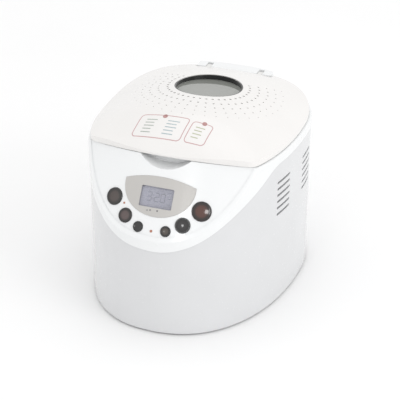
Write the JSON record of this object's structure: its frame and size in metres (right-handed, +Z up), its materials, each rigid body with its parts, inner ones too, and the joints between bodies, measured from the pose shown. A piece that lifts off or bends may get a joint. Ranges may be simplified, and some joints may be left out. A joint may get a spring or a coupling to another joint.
{
  "type": "bread machine",
  "caption": "Countertop bread machine: oval white casing, domed hinged lid with an oval window, sloping control panel, lift-out pan with a driven kneading paddle.",
  "frame": {"origin": "on the table plane, under the middle of the bounding box", "axes": "+Z up; the control panel faces -Y; +X is the user's right when facing the panel"},
  "size_m": [0.31, 0.3833, 0.2966],
  "materials": {
    "bail_lugs": "plain",
    "base_plate": "matte",
    "base_screws": "plated",
    "bread_pan": "non-stick coat",
    "chassis": "galvanised",
    "chassis_screws": "plated",
    "control_board": "satin",
    "cooling_fan": "matte",
    "cord_gland": "matte",
    "crust_button": "glossy",
    "display_bezel": "satin silver",
    "display_lens": "clear",
    "drive_belt": "matte",
    "drive_dog": "die cast",
    "drive_spindle": "ground",
    "element_brackets": "plain",
    "feet": "matte",
    "glass_gasket": "matte",
    "heat_shield": "galvanised",
    "heating_element": "oxidised",
    "hinge_arms": "satin",
    "hinge_pins": "ground",
    "indicator_lights": "clear",
    "inner_glass": "clear",
    "kneading_paddle": "non-stick coat",
    "large_pulley": "matte",
    "lcd_module": "satin",
    "lid_cover": "glossy",
    "lid_liner": "satin",
    "lid_screws": "plated",
    "lower_casing": "glossy",
    "menu_button": "glossy",
    "motor_capacitor": "plain",
    "motor_end_frames": "die cast",
    "motor_rotor": "ground",
    "motor_stator": "laminated",
    "oven_chamber": "satin",
    "pan_base_ring": "die cast",
    "pan_bush": "plain",
    "pan_handle": "plain",
    "pan_shaft": "ground",
    "pan_socket": "plain",
    "power_board": "satin",
    "ribbon_cable": "matte",
    "small_pulley": "matte",
    "spindle_bushes": "plain",
    "spindle_housing": "die cast",
    "start_button": "glossy",
    "tact_switches": "matte",
    "temperature_probe": "plain",
    "thermal_fuse": "plain",
    "timer_down_button": "glossy",
    "timer_up_button": "glossy",
    "transformer": "laminated",
    "upper_casing": "glossy",
    "weight_button": "glossy",
    "window_bezel": "glossy",
    "window_pane": "clear",
    "wing_coupling": "die cast"
  },
  "bodies": {
    "body": {"base_plate": "base_plate", "base_screws": "base_screws", "chassis": "chassis", "chassis_screws": "chassis_screws", "control_board": "control_board", "cord_gland": "cord_gland", "display_bezel": "display_bezel", "display_lens": "display_lens", "drive_belt": "drive_belt", "element_brackets": "element_brackets", "feet": "feet", "heat_shield": "heat_shield", "heating_element": "heating_element", "hinge_pins": "hinge_pins", "indicator_lights": "indicator_lights", "lcd_module": "lcd_module", "lower_casing": "lower_casing", "motor_capacitor": "motor_capacitor", "motor_end_frames": "motor_end_frames", "motor_stator": "motor_stator", "oven_chamber": "oven_chamber", "pan_socket": "pan_socket", "power_board": "power_board", "ribbon_cable": "ribbon_cable", "spindle_bushes": "spindle_bushes", "spindle_housing": "spindle_housing", "tact_switches": "tact_switches", "temperature_probe": "temperature_probe", "thermal_fuse": "thermal_fuse", "transformer": "transformer", "upper_casing": "upper_casing"},
    "lid": {"lid_cover": "lid_cover", "window_bezel": "window_bezel", "window_pane": "window_pane", "lid_liner": "lid_liner", "inner_glass": "inner_glass", "glass_gasket": "glass_gasket", "hinge_arms": "hinge_arms", "lid_screws": "lid_screws"},
    "pan": {"bread_pan": "bread_pan", "pan_base_ring": "pan_base_ring", "pan_bush": "pan_bush", "bail_lugs": "bail_lugs"},
    "bail": {"pan_handle": "pan_handle"},
    "paddle": {"pan_shaft": "pan_shaft", "wing_coupling": "wing_coupling", "kneading_paddle": "kneading_paddle"},
    "spindle": {"drive_spindle": "drive_spindle", "drive_dog": "drive_dog", "large_pulley": "large_pulley"},
    "rotor": {"motor_rotor": "motor_rotor", "small_pulley": "small_pulley", "cooling_fan": "cooling_fan"},
    "menu_key": {"menu_button": "menu_button"},
    "weight_key": {"weight_button": "weight_button"},
    "timer_down_key": {"timer_down_button": "timer_down_button"},
    "timer_up_key": {"timer_up_button": "timer_up_button"},
    "crust_key": {"crust_button": "crust_button"},
    "start_key": {"start_button": "start_button"}
  },
  "joints": [
    {"name": "lid_hinge", "type": "hinge", "parent": "body", "child": "lid", "pos_m": [0, 0.179, 0.259], "axis": [-1, 0, 0], "range_deg": [0, 90]},
    {"name": "pan_lift", "type": "slide", "parent": "body", "child": "pan", "axis": [0, 0, 1], "range_m": [0, 0.023]},
    {"name": "bail_hinge", "type": "hinge", "parent": "pan", "child": "bail", "pos_m": [0, 0.058, 0.205], "axis": [-1, 0, 0], "range_deg": [0, 69]},
    {"name": "motor_spin", "type": "hinge", "parent": "body", "child": "rotor", "pos_m": [0, -0.105, 0.06], "axis": [0, 0, 1], "continuous": true},
    {"name": "spindle_spin", "type": "hinge", "parent": "body", "child": "spindle", "pos_m": [0, 0.058, 0.04], "axis": [0, 0, 1], "continuous": true},
    {"name": "paddle_spin", "type": "hinge", "parent": "pan", "child": "paddle", "pos_m": [0, 0.058, 0.09], "axis": [0, 0, 1], "continuous": true},
    {"name": "menu_press", "type": "slide", "parent": "body", "child": "menu_key", "axis": [0.1969, 0.8204, -0.5368], "range_m": [0, 0.0015], "stiffness_N_per_m": 800, "springref_m": -0.0005},
    {"name": "weight_press", "type": "slide", "parent": "body", "child": "weight_key", "axis": [0.1312, 0.8295, -0.5428], "range_m": [0, 0.0015], "stiffness_N_per_m": 800, "springref_m": -0.0005},
    {"name": "timer_down_press", "type": "slide", "parent": "body", "child": "timer_down_key", "axis": [0.0632, 0.8351, -0.5465], "range_m": [0, 0.0015], "stiffness_N_per_m": 800, "springref_m": -0.0005},
    {"name": "timer_up_press", "type": "slide", "parent": "body", "child": "timer_up_key", "axis": [-0.0632, 0.8351, -0.5465], "range_m": [0, 0.0015], "stiffness_N_per_m": 800, "springref_m": -0.0005},
    {"name": "crust_press", "type": "slide", "parent": "body", "child": "crust_key", "axis": [-0.1312, 0.8295, -0.5428], "range_m": [0, 0.0015], "stiffness_N_per_m": 800, "springref_m": -0.0005},
    {"name": "start_press", "type": "slide", "parent": "body", "child": "start_key", "axis": [-0.1969, 0.8204, -0.5368], "range_m": [0, 0.0015], "stiffness_N_per_m": 800, "springref_m": -0.0005}
  ],
  "couplings": [
    {"joint": "spindle_spin", "follows": "motor_spin", "ratio": 0.16667},
    {"joint": "paddle_spin", "follows": "motor_spin", "ratio": 0.16667}
  ]
}
